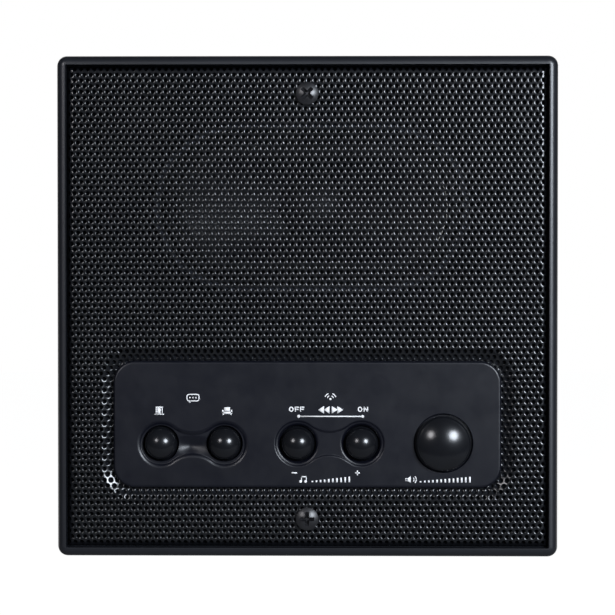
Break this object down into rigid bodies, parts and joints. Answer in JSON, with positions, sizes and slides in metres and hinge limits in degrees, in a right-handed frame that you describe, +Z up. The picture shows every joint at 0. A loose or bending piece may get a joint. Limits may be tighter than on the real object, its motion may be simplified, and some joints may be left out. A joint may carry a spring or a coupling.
{
  "type": "intercom patio station",
  "caption": "Square flush wall intercom station with a perforated grille over an oval loudspeaker, a control panel with domed push buttons and a volume knob, held by screws.",
  "frame": {"origin": "midpoint between the two mounting screws, on the wall plane", "axes": "+X right seen from the front, +Z up, +Y into the wall; the front faces -Y"},
  "size_m": [0.183, 0.0499, 0.183],
  "materials": {
    "frame_plastic": "moulded satin black",
    "panel_plastic": "fine textured black",
    "button_plastic": "smooth black",
    "grille_paint": "gloss black painted steel",
    "screw_black": "black oxide",
    "zinc_steel": "bright zinc",
    "brass": "plain",
    "switch_plastic": "moulded",
    "plunger_plastic": "moulded",
    "control_case": "moulded and plated",
    "board": "green solder mask",
    "capacitor_sleeve": "printed film sleeve",
    "terminal_plastic": "moulded",
    "lead_jacket": "plain",
    "foam": "closed cell foam",
    "fibre": "pressed fibre",
    "plated_steel": "zinc plated",
    "ferrite": "sintered",
    "cone_film": "moulded film",
    "surround_rubber": "plain",
    "damper_cloth": "impregnated cloth",
    "former_paper": "wound paper",
    "copper": "enamelled wire"
  },
  "bodies": {
    "station": {"front_frame": "frame_plastic", "wall_gasket": "foam", "speaker_grille": "grille_paint", "control_panel": "panel_plastic", "panel_screws": "zinc_steel", "door_switch": "switch_plastic", "room_switch": "switch_plastic", "volume_down_switch": "switch_plastic", "volume_up_switch": "switch_plastic", "control_body": "control_case", "control_washer": "zinc_steel", "control_nut": "brass", "circuit_board": "board", "board_screws": "zinc_steel", "amplifier_chip": "switch_plastic", "filter_capacitors": "capacitor_sleeve", "terminal_block": "terminal_plastic", "terminal_screws": "zinc_steel", "speaker_socket": "plunger_plastic", "speaker_plug": "plunger_plastic", "speaker_leads": "lead_jacket", "speaker_gasket": "fibre", "speaker_basket": "plated_steel", "speaker_screws": "zinc_steel", "tag_board": "fibre", "speaker_tags": "brass", "cone_surround": "surround_rubber", "damper": "damper_cloth", "top_plate": "plated_steel", "magnet": "ferrite", "back_plate": "plated_steel", "mounting_screws": "screw_black"},
    "door_key": {"door_button": "button_plastic", "door_plunger": "plunger_plastic"},
    "room_key": {"room_button": "button_plastic", "room_plunger": "plunger_plastic"},
    "volume_down_key": {"volume_down_button": "button_plastic", "volume_down_plunger": "plunger_plastic"},
    "volume_up_key": {"volume_up_button": "button_plastic", "volume_up_plunger": "plunger_plastic"},
    "knob": {"volume_knob": "button_plastic", "control_shaft": "zinc_steel"},
    "cone": {"speaker_cone": "cone_film", "dust_cap": "cone_film", "coil_former": "former_paper", "voice_coil": "copper"}
  },
  "joints": [
    {"name": "door_press", "type": "slide", "parent": "station", "child": "door_key", "axis": [0, 1, 0], "range_m": [0, 0.001], "stiffness_N_per_m": 1500, "springref_m": -0.0005},
    {"name": "room_press", "type": "slide", "parent": "station", "child": "room_key", "axis": [0, 1, 0], "range_m": [0, 0.001], "stiffness_N_per_m": 1500, "springref_m": -0.0005},
    {"name": "volume_down_press", "type": "slide", "parent": "station", "child": "volume_down_key", "axis": [0, 1, 0], "range_m": [0, 0.001], "stiffness_N_per_m": 1500, "springref_m": -0.0005},
    {"name": "volume_up_press", "type": "slide", "parent": "station", "child": "volume_up_key", "axis": [0, 1, 0], "range_m": [0, 0.001], "stiffness_N_per_m": 1500, "springref_m": -0.0005},
    {"name": "volume_turn", "type": "hinge", "parent": "station", "child": "knob", "pos_m": [0.0498, -0.012, -0.05], "axis": [0, 1, 0], "range_deg": [-140, 140]},
    {"name": "cone_travel", "type": "slide", "parent": "station", "child": "cone", "axis": [0, -1, 0], "range_m": [-0.0008, 0.0008], "stiffness_N_per_m": 2400, "deforming": ["cone_surround", "damper"]}
  ]
}
